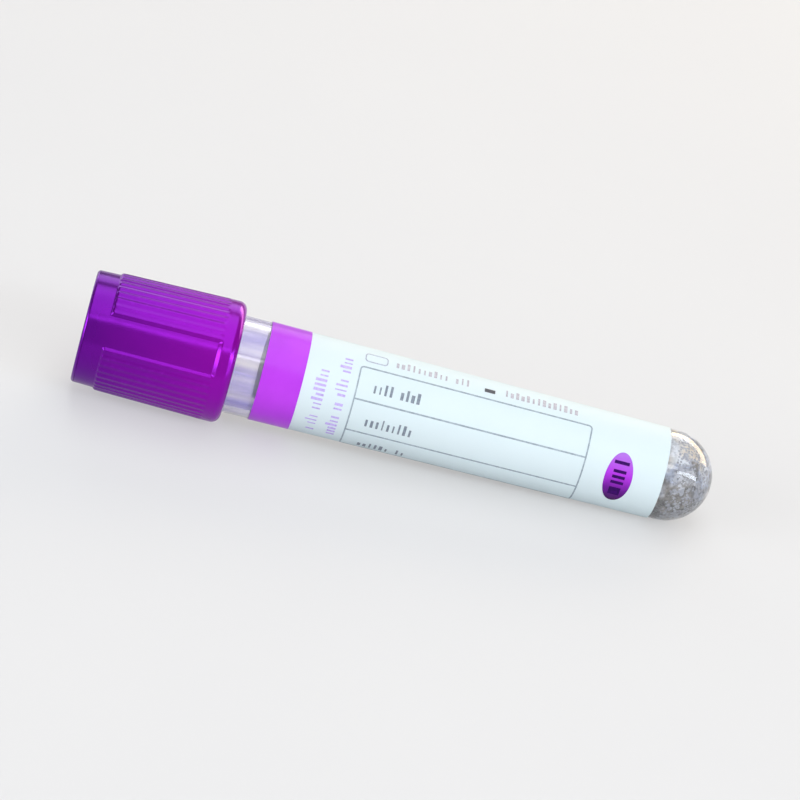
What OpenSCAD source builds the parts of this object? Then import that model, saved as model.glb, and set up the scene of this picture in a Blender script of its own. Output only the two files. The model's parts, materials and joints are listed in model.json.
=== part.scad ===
// Vacuum blood collection tube, 13 x 75 mm: a clear round-bottomed tube with a wrapped label,
// closed by a rubber stopper that sits inside a ribbed purple cap. It lies on its side.

/* [Tube] */
// Length of the clear tube, from its round tip to its mouth
tube_length = 75; // [65:1:100]
// Outer diameter of the tube at its mouth
mouth_d = 13; // [12.6:0.1:16]
// How much slimmer the barrel is where it meets the round bottom, on the diameter
barrel_draft = 1; // [0.2:0.1:1.4]
// Wall of the barrel and of the round bottom
tube_wall = 1; // [0.7:0.1:1.3]
// Bevel on the two edges of the mouth
lip_bevel = 0.2; // [0.1:0.05:0.3]
// Diameter of the shallow moulding recess at the tip
gate_recess_d = 3.2; // [2:0.2:4]
// Depth of that recess below the round surface beside it
gate_recess_depth = 0.25; // [0.1:0.05:0.35]
// Diameter of the gate stub that stands in the recess
gate_stub_d = 1; // [0.6:0.1:1.4]

/* [Cap] */
// Length of the cap, from its open end to its top rim
cap_length = 19.8; // [17:0.2:24]
// How far the cap's skirt reaches down over the tube
cap_overlap = 10.5; // [9:0.5:12]
// Radial gap between the skirt and the tube's mouth
skirt_clearance = 0.3; // [0.2:0.05:0.5]
// Wall of the skirt at its thick lower band
skirt_wall = 1.25; // [1:0.05:1.6]
// Wall of the rim around the stopper's face
rim_wall = 0.85; // [0.7:0.05:1.2]
// How much slimmer the gaps are at the collar than at the band, on the radius
cap_draft = 0.3; // [0.1:0.05:0.4]
// Height of the plain collar above the ribs
collar_length = 3.1; // [2:0.1:4.5]
// Height of the plain band below the ribs
band_length = 2.4; // [2:0.1:3.5]
// Rounding of the rim's outer edge
rim_round = 0.5; // [0.2:0.1:0.7]
// Rounding of the band towards the open end
skirt_round = 1.1; // [0.6:0.1:1.2]

/* [Grip panels] */
// Number of ribbed panels around the cap
panel_count = 3; // [2:1:4]
// Angle of the plain gap between two panels
panel_gap = 30; // [16:1:50]
// Height of the panels above the plain gaps
panel_height = 0.28; // [0.2:0.02:0.4]
// Number of ribs on each panel
panel_ribs = 12; // [6:1:16]
// Depth of the round grooves between two ribs
groove_depth = 0.12; // [0.1:0.02:0.26]
// Radius of the cutter that makes the grooves
groove_r = 0.6; // [0.26:0.02:0.7]

/* [Stopper] */
// Step from the skirt's bore in to the stopper's head, on the radius
head_step = 0.25; // [0.1:0.05:0.4]
// How far the stopper's face lies below the cap's rim
face_recess = 0.5; // [0.2:0.1:1]
// Length of the plug inside the tube's mouth
plug_length = 6.5; // [5:0.5:8]
// Radial running gap between the plug's beads and the bore
plug_clearance = 0.03; // [0.02:0.01:0.05]
// Number of sealing beads around the plug
bead_count = 3; // [2:1:4]
// Depth of the waists between the beads
bead_relief = 0.25; // [0.1:0.05:0.4]
// Diameter of the needle well in the stopper's face
well_d = 6; // [5:0.2:7]
// Depth of the needle well
well_depth = 5; // [3:0.5:6]
// Diameter of the hollow in the plug's lower end
hollow_d = 6.8; // [5:0.2:7.4]
// Rubber left between the needle well and the hollow
septum = 4; // [3:0.5:6]
// Diameter of the small pin marks in the face
pin_mark_d = 0.55; // [0.4:0.05:0.8]
// Number of pin marks
pin_marks = 4; // [2:1:6]
// Diameter of the circle that the pin marks lie on
pin_circle_d = 10.4; // [9.4:0.2:11.4]
// Height of the ring inside the cap that snaps into the head
snap_ring_h = 1.2; // [0.8:0.1:1.6]
// How far that ring stands in from the cap's bore
snap_ring_depth = 0.4; // [0.2:0.05:0.6]

/* [Label] */
// Thickness of the label film
label_thickness = 0.1; // [0.06:0.01:0.14]
// Height of the label's lower edge above the tube's tip
label_start = 7.2; // [6.3:0.1:9]
// Bare neck left between the label and the cap
bare_neck = 3.6; // [2:0.2:6]
// Angle of the clear viewing strip between the label's long edges
strip_angle = 34; // [31:1:60]
// Width of the purple band at the label's top
colour_band = 5.3; // [3:0.1:8]
// Length of the purple oval, measured around the tube
oval_length = 7; // [5:0.2:9]
// Width of the purple oval along the tube
oval_width = 3.6; // [2.4:0.2:5]
// Height of the oval's middle above the label's lower edge
oval_height = 5.8; // [4:0.2:7]
// Angle from the form's first line round to the oval's middle
oval_turn = 66; // [50:1:90]
// Gap between the label's lower edge and the form
form_start = 10.5; // [9:0.5:14]
// Angle from the label's long edge to the form
form_margin = 17; // [10:1:25]
// White field between the colour band and the form
text_field = 6.8; // [5:0.2:10]
// Number of rows in the form
form_rows = 3; // [2:1:4]
// Angle of one row of the form around the tube
row_angle = 41; // [30:1:41]
// Width of the printed lines
line_width = 0.2; // [0.1:0.05:0.4]
// Thickness of the printed ink
ink = 0.03; // [0.02:0.01:0.05]

/* [Additive] */
// Number of dried droplets of additive in the round bottom
droplets = 34; // [10:1:60]
// Radius of the smallest droplet
droplet_r = 0.26; // [0.2:0.02:0.36]
// How far up the round bottom the droplets reach, as an angle from the tip
spray_angle = 88; // [60:1:88]

/* [Hidden] */
$fn = 96;
over = 1; // how far cutters run past what they cut

// Tube: z runs from the tip at 0 to the mouth
mouth_r = mouth_d / 2;
base_r = (mouth_d - barrel_draft) / 2;
bottom_bore_r = base_r - tube_wall;
function barrel_r(z) = base_r + (mouth_r - base_r) * (z - base_r) / (tube_length - base_r);
function bore_r(z) = barrel_r(z) - tube_wall;
gate_r = gate_recess_d / 2;
gate_z = base_r - sqrt(base_r * base_r - gate_r * gate_r);

// Cap: heights along the tube, then radii
cap_start = tube_length - cap_overlap;
cap_top = cap_start + cap_length;
ribs_start = cap_start + band_length;
ribs_end = cap_top - collar_length;
skirt_bore_r = mouth_r + skirt_clearance;
head_r = skirt_bore_r - head_step;
rim_r = head_r + rim_wall;
skirt_r = skirt_bore_r + skirt_wall;
gap_low_r = skirt_r - panel_height;
gap_high_r = gap_low_r - cap_draft;
crest_low_r = gap_low_r + panel_height;
crest_high_r = gap_high_r + panel_height;
lead_in = 0.75; // bevel inside the skirt's open end
head_seat = 0.9; // how far above the tube's mouth the cap closes in on the head
seat_z = tube_length + head_seat;
panel_pitch = 360 / panel_count;
panel_angle = panel_pitch - panel_gap;
rib_pitch = panel_angle / panel_ribs;
rib_lean = atan((crest_low_r - crest_high_r) / (ribs_end - ribs_start));

// Stopper: heights along the tube
face_z = cap_top - face_recess;
plug_end = tube_length - plug_length;
plug_r = bore_r(plug_end) - plug_clearance;
bead_pitch = plug_length / bead_count;
bead_h = bead_pitch / 2;
well_z = face_z - well_depth;
hollow_top = well_z - septum;
well_cone = 0.6; // height of the cone at the well's bottom
hollow_cone = 1; // height of the cone at the hollow's top
snap_z = (seat_z + face_z) / 2 - snap_ring_h / 2;

// Label: heights along the tube and angles around it, with 180 straight down
label_end = cap_start - bare_neck;
label_angle = 360 - strip_angle;
label_from = 180 + strip_angle / 2;
form_low = label_start + form_start;
form_high = label_end - colour_band - text_field;
form_from = label_from + form_margin;
oval_z = label_start + oval_height;
oval_half = barrel_r(oval_z) * sin(oval_length / 2 / barrel_r(oval_z) * 180 / PI);

// Droplets: each one lies a golden angle further round than the last
golden_angle = 137.5;

// Lying down: the cap's band and the round bottom both touch the ground, a gap points down
contact_z = cap_start + skirt_round;
contact_r = skirt_r - skirt_round;
reach = contact_z - base_r;
tilt = acos((base_r - skirt_round) / norm([reach, contact_r])) - atan2(reach, contact_r);
tip_x = gate_r * sin(tilt) - gate_z * cos(tilt);
rim_x = -(cap_top - rim_round) * cos(tilt) - (rim_r - rim_round) * sin(tilt) - rim_round;
centre_x = -(tip_x + rim_x) / 2;
lift = base_r * (1 - sin(tilt));

// Lays what stands on the tip down along X, cap towards -X
module lay_down() {
    translate([centre_x, 0, lift]) rotate([0, tilt - 90, 0]) children();
}

// The right half of a profile, for turning
module half_plane() {
    intersection() {
        children();
        translate([0, -over]) square([mouth_d, cap_top + 2 * over]);
    }
}

// A conical skin between two heights, outside the barrel, over part of the circle
module barrel_skin(z_low, z_high, lift_in, lift_out, from, angle) {
    rotate(from) rotate_extrude(angle = angle) polygon([
        [barrel_r(z_low) + lift_in, z_low], [barrel_r(z_low) + lift_out, z_low],
        [barrel_r(z_high) + lift_out, z_high], [barrel_r(z_high) + lift_in, z_high]]);
}

module tube_outline() {
    translate([0, base_r]) circle(base_r);
    polygon([[0, base_r], [base_r, base_r], [barrel_r(tube_length - lip_bevel), tube_length - lip_bevel],
             [mouth_r - lip_bevel, tube_length], [0, tube_length]]);
}

module bore_outline() {
    translate([0, base_r]) circle(bottom_bore_r);
    polygon([[0, base_r], [bottom_bore_r, base_r], [bore_r(tube_length - lip_bevel), tube_length - lip_bevel],
             [mouth_r - tube_wall + lip_bevel, tube_length],
             [mouth_r - tube_wall + lip_bevel, tube_length + over], [0, tube_length + over]]);
}

// Clear injection-moulded tube with a round bottom
module tube() {
    color([0.86, 0.9, 0.94, 0.4]) lay_down() difference() {
        rotate_extrude() half_plane() difference() {
            tube_outline();
            bore_outline();
        }
        difference() {
            translate([0, 0, -over]) cylinder(r = gate_r, h = over + gate_z + gate_recess_depth);
            translate([0, 0, gate_z]) cylinder(d = gate_stub_d, h = over);
        }
    }
}

// Dried droplets of anticoagulant, stuck to the wall of the round bottom
module dried_additive() {
    color([0.75, 0.78, 0.82]) lay_down() translate([0, 0, base_r])
        for (i = [0 : droplets - 1])
            rotate([0, 180 - spray_angle * sqrt((i + 0.5) / droplets), i * golden_angle])
                droplet(droplet_r * (1 + (i % 3) / 4));
}

// One droplet: a small ball cut off where it meets the wall
module droplet(r) {
    rotate_extrude($fn = 24) intersection() {
        circle(bottom_bore_r, $fn = 360);
        translate([0, bottom_bore_r]) circle(r);
        translate([0, bottom_bore_r - r]) square(2 * r);
    }
}

// Self-adhesive film wrapped around the barrel, with a clear strip left between its edges
module label() {
    color("white") lay_down()
        barrel_skin(label_start, label_end, 0, label_thickness, label_from, label_angle);
}

// Purple print: the band that tells the tube's kind, and an oval near the bottom
module colour_print() {
    color([0.72, 0.2, 0.92]) lay_down() {
        print_skin(label_end - colour_band, label_end, label_from, label_angle);
        intersection() {
            print_skin(label_start, form_low, label_from, label_angle);
            rotate(form_from + oval_turn) translate([0, 0, oval_z]) rotate([0, 90, 0])
                linear_extrude(mouth_d)
                    polygon([for (a = [0 : 10 : 350]) [oval_width / 2 * cos(a), oval_half * sin(a)]]);
        }
    }
}

// Thin grey lines of the form: one printed field with a window cut out for each row
module form_print() {
    line_angle = line_width / barrel_r(form_low) * 180 / PI;
    pitch = (form_rows * row_angle - line_angle) / form_rows;
    color([0.55, 0.65, 0.68]) lay_down() difference() {
        print_skin(form_low, form_high, form_from, form_rows * row_angle);
        for (row = [0 : form_rows - 1])
            barrel_skin(form_low + line_width, form_high - line_width, 0, over,
                        form_from + line_angle + row * pitch, pitch - line_angle);
    }
}

module print_skin(z_low, z_high, from, angle) {
    barrel_skin(z_low, z_high, label_thickness, label_thickness + ink, from, angle);
}

// Rubber stopper: a head held in the cap, and a beaded plug in the tube's mouth
module stopper() {
    waist_r = plug_r - bead_relief;
    color([0.6, 0.59, 0.57]) lay_down() difference() {
        union() {
            difference() {
                translate([0, 0, tube_length]) cylinder(r = head_r, h = face_z - tube_length);
                translate([0, 0, snap_z]) rotate_extrude() snap_profile();
            }
            translate([0, 0, plug_end]) cylinder(r = waist_r, h = plug_length);
            for (i = [0 : bead_count - 1])
                translate([0, 0, plug_end + i * bead_pitch]) {
                    cylinder(r1 = waist_r, r2 = plug_r, h = bead_relief);
                    translate([0, 0, bead_relief]) cylinder(r = plug_r, h = bead_h - bead_relief);
                }
        }
        translate([0, 0, well_z]) cylinder(d = well_d, h = well_depth + over);
        translate([0, 0, well_z - well_cone]) cylinder(d1 = well_d / 3, d2 = well_d, h = well_cone);
        translate([0, 0, plug_end - over])
            cylinder(d = hollow_d, h = over + hollow_top - hollow_cone - plug_end);
        translate([0, 0, hollow_top - hollow_cone])
            cylinder(d1 = hollow_d, d2 = hollow_d / 2, h = hollow_cone);
        for (i = [0 : pin_marks - 1])
            rotate((i + 0.5) * 360 / pin_marks) translate([pin_circle_d / 2, 0, face_z - over])
                cylinder(d = pin_mark_d, h = 2 * over, $fn = 24);
    }
}

// Section of the ring that holds the head, bevelled above and below
module snap_profile() {
    polygon([[head_r + over, 0], [head_r, 0], [head_r - snap_ring_depth, snap_ring_depth],
             [head_r - snap_ring_depth, snap_ring_h - snap_ring_depth], [head_r, snap_ring_h],
             [head_r + over, snap_ring_h]]);
}

// Turned body of the cap: band with a rounded lower end, drafted gaps, collar and rim
module cap_outline() {
    translate([contact_r, contact_z]) circle(skirt_round);
    polygon([[0, cap_start], [contact_r, cap_start], [skirt_r, contact_z], [skirt_r, ribs_start],
             [gap_low_r, ribs_start], [gap_high_r, ribs_end], [rim_r, cap_top - rim_round],
             [rim_r - rim_round, cap_top], [0, cap_top]]);
    translate([rim_r - rim_round, cap_top - rim_round]) circle(rim_round);
}

// One grip panel: a drafted sector with round grooves between its ribs
module grip_panel() {
    bevel = panel_height / 2;
    difference() {
        rotate(-panel_angle / 2) rotate_extrude(angle = panel_angle) polygon([
            [head_r, ribs_start], [crest_low_r, ribs_start], [crest_high_r, ribs_end - bevel],
            [crest_high_r - bevel, ribs_end], [head_r, ribs_end]]);
        for (i = [1 : panel_ribs - 1])
            rotate(i * rib_pitch - panel_angle / 2)
                translate([crest_low_r + groove_r - groove_depth, 0, ribs_start])
                    rotate([0, -rib_lean, 0]) translate([0, 0, -over])
                        cylinder(r = groove_r, h = ribs_end - ribs_start + 2 * over, $fn = 24);
    }
}

// Moulded purple cap that shields the stopper and covers the tube's mouth
module cap() {
    color([0.47, 0.05, 0.66]) lay_down() difference() {
        union() {
            rotate_extrude() half_plane() cap_outline();
            for (i = [0 : panel_count - 1])
                rotate(180 + (i + 0.5) * panel_pitch) grip_panel();
        }
        difference() {
            translate([0, 0, seat_z]) cylinder(r = head_r, h = cap_top - seat_z + over);
            translate([0, 0, snap_z]) rotate_extrude() snap_profile();
        }
        translate([0, 0, cap_start - over]) cylinder(r = skirt_bore_r, h = seat_z - cap_start + over);
        translate([0, 0, cap_start - over])
            cylinder(r1 = skirt_bore_r + lead_in / 2 + over / 2, r2 = skirt_bore_r, h = over + lead_in);
    }
}

tube();
dried_additive();
label();
colour_print();
form_print();
stopper();
cap();
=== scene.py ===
import json
from math import acos, atan2, cos, degrees, pi, radians, sin, sqrt, tan

import bmesh
import bpy
import numpy as np
from mathutils import Matrix, Vector


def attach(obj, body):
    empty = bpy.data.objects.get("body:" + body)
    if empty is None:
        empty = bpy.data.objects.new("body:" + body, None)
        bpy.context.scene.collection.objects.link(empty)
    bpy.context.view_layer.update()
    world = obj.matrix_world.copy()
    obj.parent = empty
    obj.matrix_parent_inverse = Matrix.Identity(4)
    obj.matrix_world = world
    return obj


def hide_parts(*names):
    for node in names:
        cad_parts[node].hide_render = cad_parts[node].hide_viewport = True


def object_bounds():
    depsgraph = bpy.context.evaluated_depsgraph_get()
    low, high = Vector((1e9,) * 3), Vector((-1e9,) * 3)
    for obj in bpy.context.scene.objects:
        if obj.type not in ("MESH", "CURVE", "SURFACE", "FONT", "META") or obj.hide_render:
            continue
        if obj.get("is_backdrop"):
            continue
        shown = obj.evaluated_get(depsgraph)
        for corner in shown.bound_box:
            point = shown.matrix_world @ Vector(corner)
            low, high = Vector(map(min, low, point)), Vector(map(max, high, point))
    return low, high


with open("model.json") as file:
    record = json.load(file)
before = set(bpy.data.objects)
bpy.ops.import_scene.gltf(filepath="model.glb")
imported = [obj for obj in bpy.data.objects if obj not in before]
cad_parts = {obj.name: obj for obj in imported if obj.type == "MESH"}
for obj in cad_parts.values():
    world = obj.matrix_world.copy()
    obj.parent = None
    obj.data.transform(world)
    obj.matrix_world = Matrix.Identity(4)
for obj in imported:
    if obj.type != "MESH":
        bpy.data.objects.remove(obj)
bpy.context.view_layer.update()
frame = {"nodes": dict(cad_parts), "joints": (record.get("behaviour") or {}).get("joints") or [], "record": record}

# The clear tube: polyester, injection moulded in one shot over a polished core pin. The barrel
# has a slight draft, and the gate leaves a shallow ring and a stub at the round tip.
# All the other pieces are made upright round its axis, in millimetres from its tip.
tube_length = 75
mouth_r = 6.5
base_r = 6
wall = 1
lip_round = 0.16
gate_r = 1.6
gate_stub_r = 0.5
gate_depth = 0.25
gate_round = 0.07
turned_columns = 192
outer_steps, inner_steps = 44, 36  # rows on the round bottom's outside and inside
crisp_angle = 38  # edges that turn by more degrees than this stay crisp

axis = Vector(frame["joints"][0]["axis"])
side = Vector((0, 1, 0))
turn = Matrix((side.cross(axis), side, axis)).transposed()
mouth = max(v.co @ axis for v in frame["nodes"]["tube"].data.vertices)
well_mount = next(m for m in frame["record"]["mounts"] if m["name"] == "needle_well")
on_axis = Vector(well_mount["pos_m"])
tip = on_axis + axis * (mouth - on_axis @ axis - tube_length / 1000)
lay = Matrix.Translation(tip) @ turn.to_4x4() @ Matrix.Scale(0.001, 4)


def barrel_r(z):
    """Outer radius of the barrel at a height above the tip."""
    return base_r + (mouth_r - base_r) * (z - base_r) / (tube_length - base_r)


def bow(centre_z, radius, start, end, steps):
    """Points on an arc about the axis, from one angle to another, measured up from straight out."""
    angles = [radians(start + (end - start) * i / steps) for i in range(steps + 1)]
    return [(radius * cos(a), centre_z + radius * sin(a)) for a in angles]


def softened(corners, steps=5):
    """Rounds each (r, z, rounding) corner of an outline, and keeps the flats beside it flat."""
    points = []
    for i, (r, z, *rounding) in enumerate(corners):
        here = Vector((r, z))
        rounding = sum(rounding)
        if not rounding:
            points.append(tuple(here))
            continue
        ways = [Vector(corners[j % len(corners)][:2]) - here for j in (i - 1, i + 1)]
        room = [way.length / 2 for way in ways]
        back, on = [way.normalized() for way in ways]
        half = back.angle(on) / 2
        reach = rounding / tan(half)
        middle = here + (back + on).normalized() * rounding / sin(half)
        first, last = here + back * reach - middle, here + on * reach - middle
        arc = [middle + first.slerp(last, k / steps) * rounding for k in range(steps + 1)]
        beside = reach + rounding / 2
        if beside < room[0]:
            arc.insert(0, here + back * beside)
        if beside < room[1]:
            arc.append(here + on * beside)
        points += [tuple(p) for p in arc]
    return points


def turned(name, outline, columns=turned_columns, closed=False):
    """A mesh turned round the axis from (r, z) points, which keeps each point's height as "along".

    An open outline starts and ends on the axis.
    """
    made = bmesh.new()
    rows = []
    for r, z in outline:
        count = columns if r > 1e-6 else 1
        angles = [2 * pi * i / columns for i in range(count)]
        rows.append([made.verts.new((r * cos(a), r * sin(a), z)) for a in angles])
    pairs = list(zip(rows, rows[1:])) + ([(rows[-1], rows[0])] if closed else [])
    for low, high in pairs:
        for i in range(columns):
            j = (i + 1) % columns
            ring = [low[i % len(low)], low[j % len(low)], high[j % len(high)], high[i % len(high)]]
            made.faces.new(dict.fromkeys(ring))
    mesh = as_mesh(name, made)
    along = mesh.attributes.new("along", "FLOAT", "POINT")
    along.data.foreach_set("value", [v.co.z for v in mesh.vertices])
    return mesh


def as_mesh(name, made):
    """Turns a bmesh into a smooth mesh whose faces point outwards and whose edges stay crisp."""
    bmesh.ops.recalc_face_normals(made, faces=made.faces)
    mesh = bpy.data.meshes.new(name)
    made.to_mesh(mesh)
    made.free()
    mesh.shade_smooth()
    mesh.set_sharp_from_angle(angle=radians(crisp_angle))
    return mesh


class Wire:
    """An output in a node tree. Sums on it add Math nodes, and node() adds any other node."""

    def __init__(self, tree, socket=None):
        self.tree, self.socket = tree, socket

    def node(self, kind, settings=None, inputs=None, output=0):
        """Adds a node: its settings first, then the values or wires of its sockets."""
        made = self.tree.nodes.new(kind)
        for name, value in (settings or {}).items():
            if name == "stops":
                while len(made.color_ramp.elements) < len(value):
                    made.color_ramp.elements.new(1)
                for element, (place, colour) in zip(made.color_ramp.elements, value):
                    element.position, element.color = place, colour
            else:
                setattr(made, name, value)
        for name, value in (inputs or {}).items():
            if isinstance(value, Wire):
                self.tree.links.new(value.socket, made.inputs[name])
            else:
                made.inputs[name].default_value = value
        return Wire(self.tree, made.outputs[output] if made.outputs else None)

    def maths(self, operation, *others):
        return self.node("ShaderNodeMath", {"operation": operation}, dict(enumerate([self, *others])))

    def __add__(self, other):
        return self.maths("ADD", other)

    def __sub__(self, other):
        return self.maths("SUBTRACT", other)

    def __mul__(self, other):
        return self.maths("MULTIPLY", other)

    def __truediv__(self, other):
        return self.maths("DIVIDE", other)

    def __lt__(self, other):
        return self.maths("LESS_THAN", other)

    def __gt__(self, other):
        return self.maths("GREATER_THAN", other)

    def __rsub__(self, other):
        return self.node("ShaderNodeMath", {"operation": "SUBTRACT"}, {0: other, 1: self})

    def __rtruediv__(self, other):
        return self.node("ShaderNodeMath", {"operation": "DIVIDE"}, {0: other, 1: self})

    __radd__ = __add__
    __rmul__ = __mul__


def srgb(*levels):
    """A colour given in screen levels from 0 to 255, as the linear values that a shader takes."""
    parts = [level / 255 for level in levels]
    return (*[p / 12.92 if p < 0.04045 else ((p + 0.055) / 1.055) ** 2.4 for p in parts], 1)


streak_start = (0.001, 0.007, 0.03)  # where in the noise the streaks begin, in metres


def noise(place, size, detail=3, rough=0.5, stretch=None, low=0.0, high=1.0):
    """Soft noise with grains of a size in millimetres, spread to run from 0 at low to 1 at high.

    A stretch makes the grains that many times longer along the tube.
    """
    if stretch:
        place = place.node("ShaderNodeMapping", {"vector_type": "TEXTURE"}, {
            "Vector": place, "Location": streak_start, "Rotation": turn.to_euler(),
            "Scale": (1, 1, stretch)})
    grain = place.node("ShaderNodeTexNoise", inputs={
        "Vector": place, "Scale": 1000 / size, "Detail": detail, "Roughness": rough})
    return place.node("ShaderNodeMapRange", inputs={
        "Value": grain, "From Min": low, "From Max": high, "To Min": 0, "To Max": 1})


def mixed(factor, start, end):
    """A colour between two others."""
    return factor.node("ShaderNodeMix", {"data_type": "RGBA"}, {0: factor, 6: start, 7: end}, output=2)


def finish(name, describe, **constants):
    """A Principled material. describe(place) gives its varying sockets and constants the rest."""
    made = bpy.data.materials.new(name)
    made.use_nodes = True
    made.node_tree.nodes.clear()
    place = Wire(made.node_tree).node("ShaderNodeTexCoord", output="Object")
    sockets = {key.replace("_", " "): value for key, value in constants.items()}
    sockets.update(describe(place))
    shader = place.node("ShaderNodeBsdfPrincipled", inputs=sockets)
    place.node("ShaderNodeOutputMaterial", inputs={"Surface": shader})
    return made


def bumped(height, depth, strength=1.0):
    """A normal from a height that runs from 0 to 1, with a depth in millimetres."""
    return height.node("ShaderNodeBump", inputs={
        "Height": height, "Distance": depth / 1000, "Strength": strength})


def fit(name, mesh, material, body, slot, *replaced):
    """Lays a finished mesh down in its place, on the body that it moves with."""
    mesh.transform(lay)
    mesh.materials.clear()
    mesh.materials.append(material)
    piece = bpy.data.objects.new(name, mesh)
    bpy.context.scene.collection.objects.link(piece)
    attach(piece, body)
    if replaced:
        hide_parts(*replaced)
    return piece


def height_share(place, low, high):
    """How far a point stands between two heights above the tip, from 0 to 1."""
    height = place.node("ShaderNodeAttribute", {"attribute_name": "along"}, output="Fac")
    return height.node("ShaderNodeMapRange", inputs={"Value": height, "From Min": low, "From Max": high})


def clear_plastic(place):
    # Painted reflection: towards the cap the wall's colour turns violet, with pale and violet painted streaks
    # along it, for the cap's colour mirrored in the neck. The same stretched noise also gives the wall its faint
    # flow lines.
    painted_cap_reflection = height_share(place, 20.0, 60.0)
    flow_and_painted_streaks = noise(place, 2.2, detail=2, stretch=9, low=0.36, high=0.62)
    scuffs = noise(place, 0.35, detail=5, low=0.5, high=0.85)
    return {
        "Base Color": mixed(painted_cap_reflection, mixed(flow_and_painted_streaks, srgb(236, 238, 244), srgb(242, 244, 248)),
                            mixed(flow_and_painted_streaks, srgb(192, 185, 238), srgb(252, 250, 255))),
        "Roughness": 0.01 + scuffs * 0.05,
        "Normal": bumped(flow_and_painted_streaks, 0.008),
    }


gate_z = base_r - sqrt(base_r ** 2 - gate_r ** 2)
gate_angle = degrees(acos(gate_r / base_r))
tube_outline = softened([
    (0, gate_z, 0), (gate_stub_r, gate_z, gate_round),
    (gate_stub_r, gate_z + gate_depth, gate_round), (gate_r, gate_z + gate_depth, gate_round),
    *bow(base_r, base_r, -gate_angle, 0, outer_steps),
    (mouth_r, tube_length, lip_round), (mouth_r - wall, tube_length, lip_round),
    *bow(base_r, base_r - wall, 0, -90, inner_steps)])
fit("clear_tube", turned("clear_tube", tube_outline),
    finish("clear polyester", clear_plastic, IOR=1.57, Transmission_Weight=0.92, Specular_IOR_Level=0.85),
    "tube_body", "clear_plastic", "tube")


# The dried additive: anticoagulant salt, sprayed into the round bottom as a fine mist and dried
# in warm air. It stays on the wall as clear-grey domes among finer specks, over a thin haze.
# A golden-angle spiral spreads the domes evenly.
bore_r = base_r - wall
droplets = 34
droplet_r = 0.26
spray_angle = 88
golden_angle = 137.5
bed = 0.015  # how deep the salt sits in the wall, so that no air shows under it
specks = 1500
speck_r = 0.075


def tree(name, sizes):
    """A geometry tree whose named inputs have these values, and a wire from each input."""
    made = bpy.data.node_groups.new(name, "GeometryNodeTree")
    made.interface.new_socket("Geometry", in_out="INPUT", socket_type="NodeSocketGeometry")
    made.interface.new_socket("Geometry", in_out="OUTPUT", socket_type="NodeSocketGeometry")
    for key, value in sizes.items():
        kind = "NodeSocketInt" if isinstance(value, int) else "NodeSocketFloat"
        made.interface.new_socket(key, in_out="INPUT", socket_type=kind).default_value = value
    start = made.nodes.new("NodeGroupInput")
    return Wire(made), {socket.name: Wire(made, socket) for socket in start.outputs if socket.name}


def end(geometry):
    """Closes a tree: makes its instances real and sets a material, which fit() swaps for the piece's."""
    real = geometry.node("GeometryNodeRealizeInstances", inputs={0: geometry})
    painted = geometry.node("GeometryNodeSetMaterial", inputs={0: real, "Material": bpy.data.materials[0]})
    geometry.node("NodeGroupOutput", inputs={0: painted})
    return geometry.tree


def grown(name, nodes, sizes, base=None):
    """The plain mesh that a tree makes with these sizes, from a base mesh where it has one."""
    rough = bpy.data.objects.new(name, base or bpy.data.meshes.new(name))
    bpy.context.scene.collection.objects.link(rough)
    modifier = rough.modifiers.new(name, "NODES")
    modifier.node_group = nodes
    named = {item.name: item.identifier for item in nodes.interface.items_tree if item.in_out == "INPUT"}
    for key, value in sizes.items():
        modifier[named[key]] = value
    ready = rough.evaluated_get(bpy.context.evaluated_depsgraph_get())
    mesh = bpy.data.meshes.new_from_object(ready)
    rough.modifiers.remove(modifier)
    bpy.data.objects.remove(rough)
    mesh.name = name
    return mesh


def draws(index, seed):
    """A function that draws a number between two others for each index, in numbered series."""
    def draw(low, high, series):
        return index.node("FunctionNodeRandomValue", {"data_type": "FLOAT"}, {
            2: low, 3: high, "ID": index, "Seed": seed * 10 + series}, output=1)
    return draw


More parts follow.
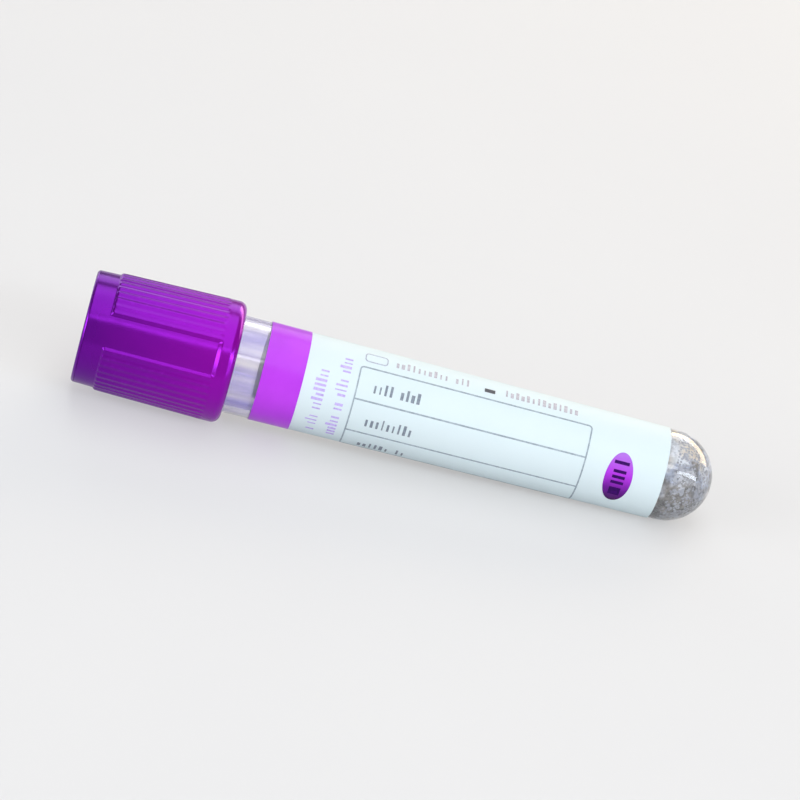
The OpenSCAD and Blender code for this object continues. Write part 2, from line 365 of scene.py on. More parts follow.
def spray_tree():
    """Domes on the wall of the round bottom, spread in a spiral and shaken by a seeded draw."""
    start, sizes = tree("spray", {
        "Count": droplets, "Dome Radius": droplet_r, "Grade": 0.25, "Spread": float(spray_angle),
        "Shake": 0.0, "Flatness": 1.0, "Roughness": 0.1, "Bore Radius": float(bore_r),
        "Centre Height": float(base_r), "Segments": 10, "Rings": 6, "Seed": 1})
    index = start.node("GeometryNodeInputIndex")
    draw = draws(index, sizes["Seed"])
    share = (index + 0.5) / sizes["Count"]
    polar = (sizes["Spread"] * share.maths("SQRT") + draw(-1.0, 1.0, 1) * sizes["Shake"]).maths("RADIANS")
    round_it = (index * golden_angle + draw(-6.0, 6.0, 2) * sizes["Shake"]).maths("RADIANS")
    out = polar.maths("SINE")
    outward = start.node("ShaderNodeCombineXYZ", inputs={
        0: out * round_it.maths("COSINE"), 1: out * round_it.maths("SINE"), 2: polar.maths("COSINE") * -1})
    spot = start.node("ShaderNodeVectorMath", {"operation": "SCALE"}, {
        0: outward, "Scale": sizes["Bore Radius"] + bed})
    centre = start.node("ShaderNodeCombineXYZ", inputs={2: sizes["Centre Height"]})
    spot = start.node("ShaderNodeVectorMath", {"operation": "ADD"}, {0: spot, 1: centre})
    points = start.node("GeometryNodePoints", inputs={"Count": sizes["Count"], "Position": spot})

    ball = start.node("GeometryNodeMeshUVSphere", inputs={
        "Segments": sizes["Segments"], "Rings": sizes["Rings"], "Radius": 1.0})
    place = start.node("GeometryNodeInputPosition")
    parts = [start.node("ShaderNodeSeparateXYZ", inputs={0: place}, output=i) for i in range(3)]
    domed = start.node("ShaderNodeCombineXYZ", inputs={
        0: parts[0], 1: parts[1], 2: parts[2].maths("MAXIMUM", 0.0) * sizes["Flatness"]})
    dome = start.node("GeometryNodeSetPosition", inputs={0: ball, "Position": domed})

    inward = start.node("ShaderNodeVectorMath", {"operation": "SCALE"}, {0: outward, "Scale": -1.0})
    facing = start.node("FunctionNodeAlignRotationToVector", {"axis": "Z"}, {"Vector": inward})
    graded = index.maths("MODULO", 3) * sizes["Grade"] + 1
    size = sizes["Dome Radius"] * graded * (1 + draw(-0.4, 0.6, 3) * sizes["Shake"].maths("MINIMUM", 1.0))
    scale = start.node("ShaderNodeCombineXYZ", inputs={0: size, 1: size, 2: size})
    domes = start.node("GeometryNodeInstanceOnPoints", inputs={
        "Points": points, "Instance": dome, "Rotation": facing, "Scale": scale})
    return end(domes)


def salt(place):
    grains = noise(place, 0.22, detail=6, rough=0.7)
    patches = noise(place, 1.6, low=0.35, high=0.65)
    return {
        "Base Color": mixed(grains, srgb(84, 86, 92), srgb(222, 226, 236)),
        "Roughness": 0.14 + patches * 0.2,
        "Metallic": 0.1 + patches * 0.2,
        "Normal": bumped(grains, 0.05),
    }


def haze(place):
    grains = noise(place, 0.55, detail=5, rough=0.6, low=0.35, high=0.65)
    # The large patches are random mottling, but their size was chosen so that a pale bluish one falls near the
    # label, which paints in a reflection.
    patches = noise(place, 3.1, detail=2, low=0.44, high=0.56)
    warm = noise(place, 3.5, detail=1, low=0.45, high=0.6)
    folds = noise(place, 1.7, detail=2, low=0.25, high=0.75)
    underside = 0.45  # the haze's tone at its lowest, against 1 at its highest
    shaded_below, lit_above = 0.002, 0.011  # heights above the table, in metres
    # Painted shade: the haze darkens towards the table, from its full tone at lit_above down to the underside
    # share at shaded_below. The warm tint grows with this tone, so it is strongest higher up.
    height = place.node("ShaderNodeSeparateXYZ", inputs={0: place}, output=2)
    painted_height_shade = height.node("ShaderNodeMapRange", inputs={
        "Value": height, "From Min": shaded_below, "From Max": lit_above,
        "To Min": underside, "To Max": 1.0})
    tone = (patches * 0.75 + grains * 0.25) * painted_height_shade + (painted_height_shade - underside) * 0.4
    grey = tone.node("ShaderNodeValToRGB", {"stops": [
        (0, srgb(62, 60, 60)), (0.35, srgb(124, 126, 132)),
        (0.7, srgb(196, 206, 228)), (1, srgb(246, 250, 255))]}, {"Fac": tone})
    return {
        "Base Color": mixed(warm * 0.5 * tone, grey, srgb(255, 230, 180)),
        "Roughness": 0.2 + grains * 0.25,
        "Metallic": 0.05 + patches * 0.1,
        "Alpha": 0.85 + grains * 0.15,
        "Normal": bumped(folds + grains * 0.08, 0.9),
    }


haze_film = 0.012
haze_top = 8.4
haze_steps = 40
spray = spray_tree()
dried_salt = finish("dried salt", salt)
fit("salt_droplets", grown("salt_droplets", spray, {}), dried_salt,
    "tube_body", "dried_salt", "dried_additive")
fit("salt_specks", grown("salt_specks", spray, {
    "Count": specks, "Dome Radius": speck_r, "Grade": 0.5, "Shake": 3.0, "Flatness": 0.7,
    "Segments": 8, "Rings": 4}),
    dried_salt, "tube_body", "dried_salt")
haze_side = [(barrel_r(haze_top) - wall + bed - inset, haze_top) for inset in (0, haze_film)]
haze_outline = (bow(base_r, bore_r + bed, -90, 0, haze_steps) + haze_side
                + bow(base_r, bore_r + bed - haze_film, 0, -90, haze_steps))
fit("salt_haze", turned("salt_haze", haze_outline), finish("salt haze", haze),
    "tube_body", "dried_salt")


# The label: white satin film with a permanent adhesive on its back, wrapped round the barrel by
# a labelling machine. A clear strip is left between its long edges, to see the blood through.
label_low, label_high = 7.2, 60.9
label_start, label_end = 197, 523
film = 0.1
glue = -0.01  # the adhesive wets the wall, so the film starts just inside it


def strip(made, stations, lift_in, lift_out, closed=False):
    """Adds a thin solid on the barrel between two rows of (angle, height) points."""
    wrap = made.loops.layers.uv.get("wrap") or made.loops.layers.uv.new("wrap")
    rings, flat = [], {}
    for left, right in stations:
        ring = []
        for (angle, z), lift in ((left, lift_in), (right, lift_in), (right, lift_out), (left, lift_out)):
            r, a = barrel_r(z) + lift, radians(angle)
            ring.append(made.verts.new((r * cos(a), r * sin(a), z)))
            flat[ring[-1]] = (a * base_r, z)
        rings.append(ring)
    faces = [(a[i], a[(i + 1) % 4], b[(i + 1) % 4], b[i])
             for a, b in zip(rings, rings[1:] + rings[:1] * closed) for i in range(4)]
    if not closed:
        faces += [rings[0], rings[-1]]
    for corners in faces:
        face = made.faces.new(corners)
        for loop in face.loops:
            loop[wrap].uv = flat[loop.vert]


def field(start, end_angle, low, high, step=2):
    """Stations of a plain field between two angles and two heights."""
    count = max(1, round(abs(end_angle - start) / step))
    angles = [start + (end_angle - start) * i / count for i in range(count + 1)]
    return [((a, low), (a, high)) for a in angles]


def satin_film(place):
    fibre = noise(place, 0.12, detail=4)
    clouds = noise(place, 9, detail=2)
    return {
        "Base Color": mixed(clouds, srgb(215, 230, 234), srgb(220, 234, 238)),
        "Roughness": 0.52 + fibre * 0.12,
        "Normal": bumped(fibre * 0.4 + clouds * 1.5, 0.02),
    }


label_mesh = bmesh.new()
strip(label_mesh, field(label_start, label_end, label_low, label_high), glue, film)
fit("label_film", as_mesh("label_film", label_mesh),
    finish("satin film", satin_film, IOR=1.45, Transmission_Weight=0.2, Specular_IOR_Level=0.12),
    "tube_body", "label_film", "label")


# The purple print: one solid band at the label's top that tells the kind of tube, and an oval
# near the round bottom for its volume. Both are printed flat and varnished.
band_low = 55.6
band_wrap = 0.02  # how far the band's ink wraps over the label's top edge
ink = 0.03
oval_z = 13
oval_angle = 280
oval_around, oval_along = 7.0, 3.6
oval_blunt = 0.02  # how far short of its two points the oval stops, in steps
bar_ink = 0.01
bars = [  # each bar's place and thickness round the label, and its length along it
    (2.15, 0.42, 2.0), (1.0, 0.4, 1.7), (0.25, 0.4, 1.7), (-0.5, 0.4, 1.7), (-1.8, 1.15, 1.5)]


def purple_ink(place):
    mottle = noise(place, 0.9, detail=3, low=0.2, high=0.8)
    wash = noise(place, 7, detail=1, low=0.35, high=0.65)
    return {
        "Base Color": mixed(mottle * 0.25 + wash * 0.75, srgb(160, 44, 202), srgb(177, 56, 217)),
        "Roughness": 0.28 + mottle * 0.06,
        "Normal": bumped(wash, 0.02),
    }


def plain_ink(dark, light):
    def describe(place):
        wear = noise(place, 0.3, detail=5, low=0.35, high=0.65)
        return {"Base Color": mixed(wear, dark, light), "Roughness": 0.45 + wear * 0.1}
    return describe


def oval_ink(place):
    arc = place.node("ShaderNodeSeparateXYZ", inputs={
        0: place.node("ShaderNodeAttribute", {"attribute_name": "wrap"}, output="Vector")}, output=0)
    # Painted light and shade: the oval's ink runs from a dark, shaded end to a pale, lit end, round the label from
    # one point of the oval to the other.
    middle = radians(oval_angle) * base_r
    along = arc.node("ShaderNodeMapRange", inputs={
        "Value": arc, "From Min": middle - oval_around / 2, "From Max": middle + oval_around / 2,
        "To Min": 0, "To Max": 1})
    mottle = noise(place, 0.8, detail=3)
    painted_light_and_shade = along.node("ShaderNodeValToRGB", {"stops": [
        (0, srgb(44, 0, 60)), (0.3, srgb(98, 10, 134)),
        (0.58, srgb(162, 46, 204)), (1, srgb(160, 104, 204))]}, {"Fac": along + mottle * 0.12 - 0.06})
    return {"Base Color": painted_light_and_shade, "Roughness": 0.3 + mottle * 0.1}


def oval(centre, around_it, along_it, steps=40):
    """Stations of an oval field about an (angle, height) centre."""
    stations = []
    for i in range(steps + 1):
        across = -cos(pi * (i + oval_blunt) / (steps + 2 * oval_blunt))
        half = along_it / 2 * sqrt(1 - across ** 2)
        angle = centre[0] + degrees(across * around_it / 2 / barrel_r(centre[1]))
        stations.append(((angle, centre[1] - half), (angle, centre[1] + half)))
    return stations


# The band's ink starts within the film, so that no white shows at its edge.
band_mesh = bmesh.new()
strip(band_mesh, field(label_start, label_end, band_low, label_high + band_wrap), film / 4, film + ink)
fit("purple_band", as_mesh("purple_band", band_mesh),
    finish("purple ink", purple_ink, Specular_IOR_Level=0.3), "tube_body", "purple_ink", "colour_print")
oval_mesh = bmesh.new()
strip(oval_mesh, oval((oval_angle, oval_z), oval_around, oval_along), film, film + ink)
fit("volume_oval", as_mesh("volume_oval", oval_mesh), finish("oval ink", oval_ink, Specular_IOR_Level=0.2),
    "tube_body", "purple_ink")
bars_mesh = bmesh.new()
for middle, thick, long in bars:
    edges = [oval_angle + degrees((middle + way * thick / 2) / barrel_r(oval_z)) for way in (-1, 1)]
    strip(bars_mesh, field(*edges, oval_z - long / 2, oval_z + long / 2),
          film + ink, film + ink + bar_ink)
fit("volume_bars", as_mesh("volume_bars", bars_mesh),
    finish("bar ink", plain_ink(srgb(40, 0, 74), srgb(56, 0, 94)), Specular_IOR_Level=0.1),
    "tube_body", "purple_ink")


# The form: thin grey lines for the patient's details, three rows with rounded corners, and rows
# of small plain blocks where words would stand. All of it is printed on the film.
form_low, form_high = 17.7, 48.8
form_start = 214
row_angle = 41
line = 0.2
corner_r = 0.45
corner_points, side_steps = 9, 50


def around(length):
    """The angle that a length round the label takes up."""
    return degrees(length / barrel_r(form_low))


def stroke(made, path, width, closed=False):
    """Adds a printed line of a width along (angle, height) points on the label."""
    scale = Vector((1 / around(1), 1))
    points = [Vector(p) * scale for p in path]
    stations = []
    for i, here in enumerate(points):
        before = points[i - 1] if closed or i else here
        after = points[(i + 1) % len(points)] if closed or i + 1 < len(points) else here
        way = (after - before).normalized()
        across = Vector((-way.y, way.x)) * width / 2
        stations.append(tuple((p.x / scale.x, p.y) for p in (here - across, here + across)))
    strip(made, stations, film, film + ink, closed)


def rounded_form(start, end_angle, low, high):
    """The form's outer line, as (angle, height) points with round corners."""
    turn_angle = around(corner_r)
    path = []
    corners = [(start, low, 180), (end_angle, low, 270), (end_angle, high, 0), (start, high, 90)]
    for angle, z, first in corners:
        centre_a = angle + (turn_angle if angle == start else -turn_angle)
        centre_z = z + (corner_r if z == low else -corner_r)
        for k in range(corner_points):
            a = radians(first + 90 * k / (corner_points - 1))
            path.append((centre_a + turn_angle * cos(a), centre_z + corner_r * sin(a)))
    run = end_angle - start - 2 * turn_angle
    low_side = [(start + turn_angle + run * k / side_steps, low) for k in range(1, side_steps)]
    high_side = [(a, high) for a, _ in reversed(low_side)]
    last = 3 * corner_points
    return path[:corner_points] + low_side + path[corner_points:last] + high_side + path[last:]


def grey_ink(place):
    wear = noise(place, 0.5, detail=5, low=0.35, high=0.65)
    return {
        "Base Color": mixed(wear, srgb(124, 138, 148), srgb(158, 172, 182)),
        "Roughness": 0.45 + wear * 0.1,
    }


form_mesh = bmesh.new()
form_end = form_start + 3 * row_angle
inset = around(line / 2)
stroke(form_mesh, rounded_form(
    form_start + inset, form_end - inset, form_low + line / 2, form_high - line / 2), line, closed=True)
for row in (1, 2):
    angle = form_start + row * row_angle
    stroke(form_mesh, [(angle, form_low + line), (angle, form_high - line)], line)
fit("form_lines", as_mesh("form_lines", form_mesh), finish("grey ink", grey_ink),
    "tube_body", "grey_ink", "form_print")


def block_tree():
    """A row of small printed blocks of drawn widths, wrapped round the label."""
    start, sizes = tree("blocks", {
        "Count": 8, "Pitch": 0.9, "Height": 1.4, "Around": 1.0, "Angle": 300.0, "Place": 50.0,
        "Fill": 0.8, "Thickness": ink, "Lift": film, "Base Radius": float(base_r),
        "Growth": (mouth_r - base_r) / (tube_length - base_r), "Seed": 1})
    index = start.node("GeometryNodeInputIndex")
    draw = draws(index, sizes["Seed"])
    share = 0.7 + 0.3 * (draw(0.0, 1.0, 2) > 0.6)
    spot = start.node("ShaderNodeCombineXYZ", inputs={
        0: (index + 0.5) * sizes["Pitch"], 1: (share - 1) * sizes["Height"] / 2})
    points = start.node("GeometryNodePoints", inputs={"Count": sizes["Count"], "Position": spot})
    cube = start.node("GeometryNodeMeshCube", inputs={
        "Size": (1, 1, 1), "Vertices X": 3, "Vertices Y": 3, "Vertices Z": 2})
    size = start.node("ShaderNodeCombineXYZ", inputs={
        0: sizes["Pitch"] * draw(0.25, 0.62, 1),
        1: sizes["Height"] * share,
        2: sizes["Thickness"]})
    blocks = start.node("GeometryNodeInstanceOnPoints", inputs={
        "Points": points, "Selection": draw(0.0, 1.0, 3) < sizes["Fill"], "Instance": cube, "Scale": size})
    real = start.node("GeometryNodeRealizeInstances", inputs={0: blocks})
    place = start.node("GeometryNodeInputPosition")
    run, rise, up = [start.node("ShaderNodeSeparateXYZ", inputs={0: place}, output=i) for i in range(3)]
    across = 1 - sizes["Around"]
    arc = run * sizes["Around"] + rise * across
    height = sizes["Place"] + rise * sizes["Around"] - run * across
    radius = sizes["Base Radius"] + (height - sizes["Base Radius"]) * sizes["Growth"]
    lifted = radius + sizes["Lift"] + sizes["Thickness"] / 2 + up
    angle = sizes["Angle"].maths("RADIANS") + arc / radius
    wrapped = start.node("ShaderNodeCombineXYZ", inputs={
        0: lifted * angle.maths("COSINE"), 1: lifted * angle.maths("SINE"), 2: height})
    return end(start.node("GeometryNodeSetPosition", inputs={0: real, "Position": wrapped}))


def joined(name, meshes):
    """One mesh from several."""
    made = bmesh.new()
    for mesh in meshes:
        made.from_mesh(mesh)
    return as_mesh(name, made)


date_start, date_end, date_low, date_high = 346.2, 352, 31, 32.4
batch_start, batch_end, batch_low, batch_high = 345.5, 359.5, 45.4, 48.3
batch_line = 0.16
mark_mesh = bmesh.new()
strip(mark_mesh, field(date_start, date_end, date_low, date_high), film, film + ink)
fit("date_mark", as_mesh("date_mark", mark_mesh),
    finish("black ink", plain_ink(srgb(40, 42, 50), srgb(62, 64, 74))), "tube_body", "grey_ink")
frame_mesh = bmesh.new()
stroke(frame_mesh, rounded_form(batch_start, batch_end, batch_low, batch_high), batch_line, closed=True)
fit("batch_frame", as_mesh("batch_frame", frame_mesh),
    finish("pale ink", plain_ink(srgb(140, 148, 168), srgb(176, 184, 200))), "tube_body", "grey_ink")
blocks = block_tree()
title_rows = [
    {"Count": 15, "Pitch": 0.62, "Height": 1.5, "Angle": 237.0, "Place": 53.3, "Seed": 3},
    {"Count": 23, "Pitch": 0.62, "Height": 1.5, "Angle": 214.0, "Place": 50.6, "Seed": 5}]
caption_rows = [
    {"Count": 9, "Pitch": 0.72, "Height": 1.4, "Around": 0.0, "Place": 46.7, "Fill": 0.95,
     "Angle": float(form_start + row_angle * (row + 0.42)), "Seed": 11 + row} for row in range(3)]
date_rows = [
    {"Count": 14, "Pitch": 0.72, "Height": 1.3, "Around": 0.0, "Place": place, "Fill": 0.95,
     "Angle": 353.0, "Seed": 21 + i} for i, place in enumerate((44.4, 29.8))]
for name, rows, dark, light in (
        ("title_blocks", title_rows, srgb(168, 148, 210), srgb(190, 174, 228)),
        ("caption_blocks", caption_rows, srgb(98, 108, 122), srgb(128, 138, 150)),
        ("date_blocks", date_rows, srgb(150, 148, 160), srgb(184, 182, 192))):
    meshes = [grown(f"{name}_{i}", blocks, row) for i, row in enumerate(rows)]
    fit(name, joined(name, meshes), finish(name, plain_ink(dark, light)), "tube_body", "grey_ink")


# The stopper: butyl rubber, compression moulded. Its head sits in the cap behind the snap ring,
# and its beaded plug seals the mouth. The face has a well that guides the needle, and four marks
# where the mould's pins push the stopper out.
face_z = 83.8
head_r = 6.55
plug_low = 68.5
plug_r = 5.423
waist = 0.25
bead_pitch = 6.5 / 3
well_r, well_z = 3, 78.8
well_tip_r, well_tip_depth = 1, 0.6
hollow_r, hollow_z = 3.4, 73.8
hollow_top_z = 74.8
snap_z, snap_height, snap_depth = 79.25, 1.2, 0.4
rubber_round = 0.12
bead_round, waist_round = 0.1, 0.06


def rubber(place):
    dust = noise(place, 0.5, detail=5, low=0.4, high=0.75)
    skin = noise(place, 0.16, detail=4)
    return {
        "Base Color": mixed(dust, srgb(146, 144, 141), srgb(170, 167, 163)),
        "Roughness": 0.42 + dust * 0.2,
        "Normal": bumped(skin, 0.02),
    }


plug_side = []
for i in range(3):
    low = plug_low + i * bead_pitch
    bead_top = low + bead_pitch / 2
    plug_side += [(plug_r - waist, low, waist_round), (plug_r, low + waist, bead_round),
                  (plug_r, bead_top, bead_round), (plug_r - waist, bead_top, waist_round)]
stopper_outline = softened([
    (0, hollow_top_z, 0), (hollow_r / 2, hollow_top_z, 0.1), (hollow_r, hollow_z, 0.2),
    (hollow_r, plug_low, rubber_round), *plug_side, (plug_r - waist, tube_length, 0.1),
    (head_r, tube_length, rubber_round), (head_r, snap_z, 0.08),
    (head_r - snap_depth, snap_z + snap_depth, 0.1),
    (head_r - snap_depth, snap_z + snap_height - snap_depth, 0.1), (head_r, snap_z + snap_height, 0.08),
    (head_r, face_z, rubber_round), (well_r, face_z, 0.25), (well_r, well_z, 0.2),
    (well_tip_r, well_z - well_tip_depth, 0.15), (0, well_z - well_tip_depth, 0)])


def pin_tree():
    """Sinks a ring of small round marks, each on its share of the circle, in the stopper's face."""
    start, sizes = tree("pin marks", {
        "Count": 4, "Pin Radius": 0.275, "Circle Radius": 5.2, "Depth": 1.0, "Face Height": face_z})
    index = start.node("GeometryNodeInputIndex")
    round_it = (index + 0.5) * (2 * pi) / sizes["Count"]
    spot = start.node("ShaderNodeCombineXYZ", inputs={
        0: sizes["Circle Radius"] * round_it.maths("COSINE"),
        1: sizes["Circle Radius"] * round_it.maths("SINE"), 2: sizes["Face Height"]})
    points = start.node("GeometryNodePoints", inputs={"Count": sizes["Count"], "Position": spot})
    pin = start.node("GeometryNodeMeshCylinder", inputs={
        "Vertices": 24, "Radius": sizes["Pin Radius"], "Depth": sizes["Depth"] * 2})
    pins = start.node("GeometryNodeInstanceOnPoints", inputs={"Points": points, "Instance": pin})
    real = start.node("GeometryNodeRealizeInstances", inputs={0: pins})
    return end(start.node("GeometryNodeMeshBoolean", {"operation": "DIFFERENCE"}, {
        "Mesh 1": sizes["Geometry"], "Mesh 2": real}))


stopper_mesh = grown("rubber_stopper", pin_tree(), {}, turned("rubber_stopper", stopper_outline))
stopper_mesh.set_sharp_from_angle(angle=radians(crisp_angle))
fit("rubber_stopper", stopper_mesh, finish("grey rubber", rubber), "closure", "grey_rubber", "stopper")


# The cap: purple polypropylene, moulded in one piece. It shields the stopper and the tube's
# mouth, and three drafted panels of round-grooved ribs give the fingers a grip.
# The core pin strips out over the snap ring inside.
cap_low, cap_high = 64.5, 84.3
ribs_low, ribs_high = 66.9, 81.2
skirt_r, skirt_bore_r = 8.05, 6.8
skirt_round = 1.1
panel_height = 0.28
gap_draft = 0.3
rim_r, rim_round = 7.4, 0.5
seat_z = 75.9
lead_in = 0.75
panels = 3
panel_angle = 90
ribs = 12
groove_r, groove_depth = 0.6, 0.08
cap_columns = 816


def cap_base():
    """The cap turned without its panels; each row says how far panels stand out from it."""
    gap_low = skirt_r - panel_height
    gap_high = gap_low - gap_draft
    edge = 0.3
    step_run = 0.5
    contact_z = cap_low + skirt_round
    start = -degrees(acos((skirt_bore_r + lead_in / 2 - skirt_r + skirt_round) / skirt_round))
    skirt_end = [(skirt_r - skirt_round + skirt_round * cos(a), contact_z + skirt_round * sin(a))
                 for a in [radians(start * (1 - k / 9)) for k in range(10)]]
    step = softened([(skirt_r, contact_z, 0), (skirt_r, ribs_low - step_run / 2, edge),
                     (gap_low, ribs_low + step_run / 2, edge), (gap_high, ribs_high, 0)])[1:-1]
    rows = [(r, z, 0) for r, z in skirt_end]
    rows += [(r, z, (skirt_r - r) / panel_height if z < ribs_low + step_run else 1) for r, z in step]
    rows += [(gap_low - gap_draft * s, ribs_low + (ribs_high - ribs_low) * s, 1)
             for s in (0.05, 0.2, 0.35, 0.5, 0.65, 0.8, 0.95)]
    ledge = [  # heights from the panels' top, and how far the panels still stand out there
        (-0.36, 1), (-0.26, 0.98), (-0.17, 0.9), (-0.09, 0.76), (-0.02, 0.55), (0.04, 0.3),
        (0.09, 0.12), (0.14, 0.03), (0.19, 0)]
    rows += [(gap_high, ribs_high + dz, stand) for dz, stand in ledge]
    rest = softened([
        (gap_high, ribs_high + 0.2, 0), (rim_r, cap_high - rim_round, 0.3),
        (rim_r - 0.02, cap_high, rim_round * 0.9), (head_r, cap_high, 0.1),
        (head_r, snap_z + snap_height, 0.1),
        (head_r - snap_depth, snap_z + snap_height - snap_depth, 0.12),
        (head_r - snap_depth, snap_z + snap_depth, 0.12), (head_r, snap_z, 0.1),
        (head_r, seat_z, 0.06), (skirt_bore_r, seat_z, 0.06), (skirt_bore_r, cap_low + lead_in, 0.3),
        (skirt_bore_r + lead_in / 2 * 0.96, cap_low + 0.06, 0)])
    rows += [(r, z, 0) for r, z in rest]
    mesh = turned("cap", [(r, z) for r, z, _ in rows], columns=cap_columns, closed=True)
    stand = mesh.attributes.new("stand", "FLOAT", "POINT")
    stand.data.foreach_set("value", np.repeat([s for _, _, s in rows], cap_columns))
    return mesh


def panel_tree():
    """Lifts the panels, cuts the round grooves between their ribs, and stores the ribs' crests."""
    start, sizes = tree("grip panels", {
        "Panels": panels, "Panel Angle": float(panel_angle), "Ribs": ribs, "Panel Height": panel_height,
        "Groove Radius": groove_r, "Groove Depth": groove_depth, "Side Round": 4.0, "Sink": 0.012})
    place = start.node("GeometryNodeInputPosition")
    x, y, z = [start.node("ShaderNodeSeparateXYZ", inputs={0: place}, output=i) for i in range(3)]
    radius = (x * x + y * y).maths("SQRT")
    pitch = 360 / sizes["Panels"]
    angle = y.maths("ARCTAN2", x).maths("DEGREES").maths("WRAP", pitch / 2, pitch / -2)
    off = angle.maths("ABSOLUTE")
    half = sizes["Panel Angle"] / 2
    panel = start.node("ShaderNodeMapRange", {"interpolation_type": "SMOOTHSTEP"}, {
        "Value": off, "From Min": half - sizes["Side Round"], "From Max": half,
        "To Min": 1.0, "To Max": 0.0})
    rib = sizes["Panel Angle"] / sizes["Ribs"]
    aside = angle.maths("WRAP", rib / 2, rib / -2).maths("RADIANS") * radius
    circle = (sizes["Groove Radius"] * sizes["Groove Radius"] - aside * aside).maths("MAXIMUM", 0.0)
    cut = circle.maths("SQRT") - (sizes["Groove Radius"] - sizes["Groove Depth"])
    groove = cut.maths("SMOOTH_MAX", 0.0, 0.18) * (off < half - rib / 2)
    stand = start.node("GeometryNodeInputNamedAttribute", {"data_type": "FLOAT"}, {"Name": "stand"})
    slow = start.node("ShaderNodeTexNoise", inputs={"Vector": place, "Scale": 0.22, "Detail": 1.0})
    lifted = stand * (sizes["Panel Height"] * panel - groove) + (slow - 0.5) * sizes["Sink"]
    grow = 1 + lifted / radius
    moved = start.node("ShaderNodeCombineXYZ", inputs={0: x * grow, 1: y * grow, 2: z})
    crest = stand * panel * (1 - groove / sizes["Groove Depth"])
    kept = start.node("GeometryNodeStoreNamedAttribute", {"data_type": "FLOAT", "domain": "POINT"}, {
        "Geometry": sizes["Geometry"], "Name": "crest", "Value": crest})
    return end(start.node("GeometryNodeSetPosition", inputs={0: kept, "Position": moved}))


def purple_plastic(place):
    crest = place.node("ShaderNodeAttribute", {"attribute_name": "crest"}, output="Fac")
    clouds = noise(place, 4.5, detail=2, low=0.3, high=0.7)
    grain = noise(place, 0.14, detail=4)
    rubbed = noise(place, 0.8, detail=5, rough=0.65, low=0.5, high=0.75)
    # Painted shade: the cap's colour darkens along its length, lighter and redder at the open end and darkest at
    # the collar.
    body = crest.node("ShaderNodeValToRGB", {"stops": [
        (0, srgb(116, 2, 122)), (0.3, srgb(106, 2, 116)),
        (0.6, srgb(88, 2, 104)), (0.95, srgb(56, 1, 78))]},
        {"Fac": height_share(place, cap_low, cap_high) + clouds * 0.1 - 0.05})
    return {
        "Base Color": mixed(crest * rubbed * 0.25, body, srgb(128, 30, 160)),
        "Roughness": 0.17 + grain * 0.04 + rubbed * 0.06,
        "Normal": bumped(grain * 0.05 + clouds, 0.02),
    }


fit("purple_cap", grown("purple_cap", panel_tree(), {}, cap_base()),
    finish("purple polypropylene", purple_plastic, IOR=2.0, Specular_IOR_Level=1.0,
           Specular_Tint=(0.44, 0.03, 0.95, 1)),
    "closure", "purple_plastic", "cap")


# The floor: a plain pale table top of matt laminate, broad enough to fill every view. It stands
# under the tube by itself and isn't part of it.
floor_half = 3.0
shadow_lift = 0.4  # the share of plain white that the table shows, so that its shadow stays soft


def table_top(place):
    clouds = noise(place, 60)
    return {"Base Color": mixed(clouds, srgb(189, 190, 192), srgb(194, 195, 196)), "Roughness": 0.9}


floor_mesh = bpy.data.meshes.new("floor")
corners = [(x * floor_half, y * floor_half, 0) for x, y in ((-1, -1), (1, -1), (1, 1), (-1, 1))]
floor_mesh.from_pydata(corners, [], [(0, 1, 2, 3)])
table = finish("table", table_top, Specular_IOR_Level=0.1)
painted, surface = [table.node_tree.nodes[name] for name in ("Principled BSDF", "Material Output")]
rays = sum(Wire(table.node_tree).node("ShaderNodeLightPath", output=f"Is {ray} Ray")
           for ray in ("Camera", "Glossy", "Transmission"))
glow = rays.node("ShaderNodeEmission", inputs={"Color": (1, 1, 1, 1), "Strength": 1.0})
lifted = rays.node("ShaderNodeMixShader", inputs={
    0: rays.maths("MINIMUM", 1.0) * shadow_lift, 1: Wire(table.node_tree, painted.outputs[0]), 2: glow})
table.node_tree.links.new(lifted.socket, surface.inputs["Surface"])
floor_mesh.materials.append(table)
floor = bpy.data.objects.new("floor", floor_mesh)
bpy.context.scene.collection.objects.link(floor)
floor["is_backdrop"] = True


# The light: a large softbox over the tube gives the cap its sheen, others and a weak sun fill the
# front, the sides and the back, and a warm lamp behind gilds the round bottom. The room is grey
# to what mirrors it, and pale to the eye and through the clear plastic.
def softbox(name, lean, distance, size, radiance, sideways=0.0, colour=(1, 1, 1)):
    """An area lamp facing the tube, leaning back from straight up by an angle."""
    lamp = bpy.data.lights.new(name, "AREA")
    lamp.shape = "RECTANGLE"
    lamp.size, lamp.size_y = size
    lamp.color = colour
    lamp.energy = radiance * size[0] * size[1] * pi
    held = bpy.data.objects.new(name, lamp)
    aim = Matrix.Rotation(radians(-lean), 4, "X") @ Matrix.Rotation(radians(sideways), 4, "Y")
    held.matrix_world = aim @ Matrix.Translation((0, 0, distance))
    held.visible_camera = False
    bpy.context.scene.collection.objects.link(held)


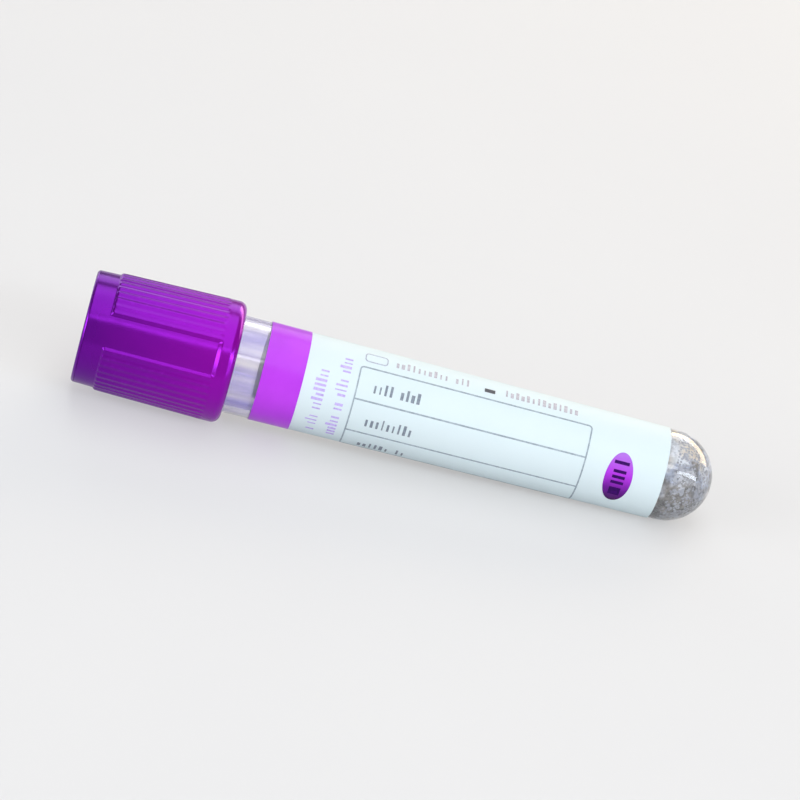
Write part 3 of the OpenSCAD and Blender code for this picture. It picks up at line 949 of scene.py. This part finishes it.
# Each lamp's name, lean in degrees, distance, size, brightness, sideways lean and colour.
softbox("overhead", 2, 0.42, (0.27, 0.56), 1.9)
softbox("window", -38, 0.5, (0.26, 0.07), 3.2, 5)
softbox("back_window", 60, 0.6, (0.6, 0.3), 1.7)
softbox("front_fill", -72, 1.0, (1.6, 1.0), 0.35)
softbox("left_fill", -70, 1.0, (0.9, 0.9), 2.3, -58)
softbox("right_fill", -70, 1.0, (0.9, 0.9), 2.0, 50)
softbox("left_wall", 0, 1.0, (0.8, 0.9), 0.9, -80)
softbox("far_corner", 80, 1.0, (0.7, 0.5), 1.3, -32)
softbox("side_window", -52, 0.5, (0.2, 0.2), 4, -52)
softbox("end_window", -47, 0.5, (0.5, 0.07), 7.5, 46, (0.85, 0.92, 1))
softbox("warm_lamp", 66, 0.6, (0.6, 0.2), 5.5, 34, (1, 0.77, 0.48))
sun = bpy.data.lights.new("sun", "SUN")
sun.energy = 0.1
sun.angle = radians(30)
held_sun = bpy.data.objects.new("sun", sun)
held_sun.rotation_euler = (radians(-20), radians(-15), 0)
bpy.context.scene.collection.objects.link(held_sun)
world = bpy.data.worlds.new("room")
world.use_nodes = True
room = Wire(world.node_tree, world.node_tree.nodes["Background"].outputs[0])
beyond = sum(room.node("ShaderNodeLightPath", output=f"Is {ray} Ray") for ray in ("Camera", "Transmission"))
white = room.node("ShaderNodeBackground", inputs={"Color": (0.9, 0.9, 0.91, 1)})
world.node_tree.nodes["Background"].inputs["Color"].default_value = (0.26, 0.26, 0.28, 1)
shown = room.node("ShaderNodeMixShader", inputs={0: beyond.maths("MINIMUM", 1.0), 1: room, 2: white})
world.node_tree.links.new(shown.socket, world.node_tree.nodes["World Output"].inputs["Surface"])
bpy.context.scene.world = world


# The camera: thirty degrees above the table, in front of the cap, turned so that the tube runs
# down to the right.
camera_place = Vector((-0.0312, -0.3635, 0.2184))
lens = 146
slope = 14.4  # degrees that the tube runs down to the right
camera = bpy.data.objects.new("camera", bpy.data.cameras.new("camera"))
camera.data.lens = lens
camera.data.clip_start = 0.01
low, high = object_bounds()
ahead = (low + high) / 2 - camera_place
level = ahead.to_track_quat("-Z", "Y").to_matrix()
ends = (tip, tip + axis * tube_length / 1000)
seen = [level.inverted() @ (end_point - camera_place) for end_point in ends]
flat_points = [Vector((p.x / -p.z, p.y / -p.z)) for p in seen]
run = flat_points[0] - flat_points[1]
roll = radians(slope) + atan2(run.y, run.x)
camera.matrix_world = Matrix.Translation(camera_place) @ (level @ Matrix.Rotation(roll, 3, "Z")).to_4x4()
bpy.context.scene.collection.objects.link(camera)
bpy.context.scene.camera = camera
bpy.context.scene.view_settings.view_transform = "Standard"
